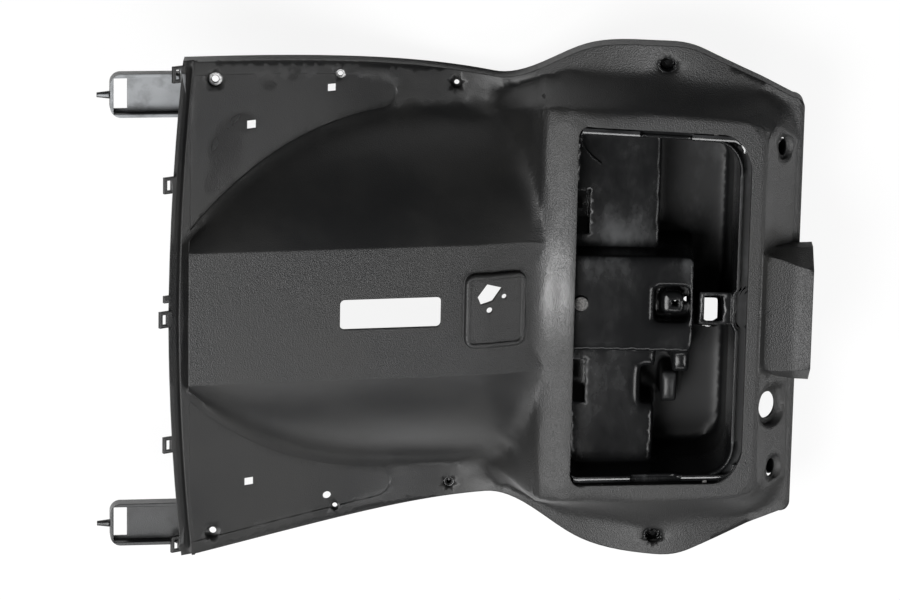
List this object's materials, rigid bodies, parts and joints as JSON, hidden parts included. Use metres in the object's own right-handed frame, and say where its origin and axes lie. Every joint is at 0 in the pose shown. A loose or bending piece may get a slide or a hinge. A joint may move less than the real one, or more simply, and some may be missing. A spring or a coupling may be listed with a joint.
{
  "type": "scooter leg shield inner panel with glove box",
  "caption": "Black moulded inner leg shield panel of a scooter, with a humped centre, screw wings and an open glove box let in below a broad bezel",
  "frame": {"origin": "middle of the overall length and width, on the plane the panel lies on when it rests on its back", "axes": "+X from the floor end to the upper end, +Y across towards the side without the key hole, +Z out of the face the rider sees"},
  "size_m": [0.605, 0.4502, 0.1614],
  "materials": {
    "grained_plastic": "black moulded plastic, pebble grained on the raised faces and satin on the wings",
    "glossy_plastic": "smooth glossy black plastic with dust",
    "screw_steel": "dull zinc plated steel"
  },
  "bodies": {
    "root": {"inner_panel": "grained_plastic", "glove_box": "glossy_plastic", "glove_box_screws": "screw_steel", "column_screw": "screw_steel"}
  },
  "joints": []
}
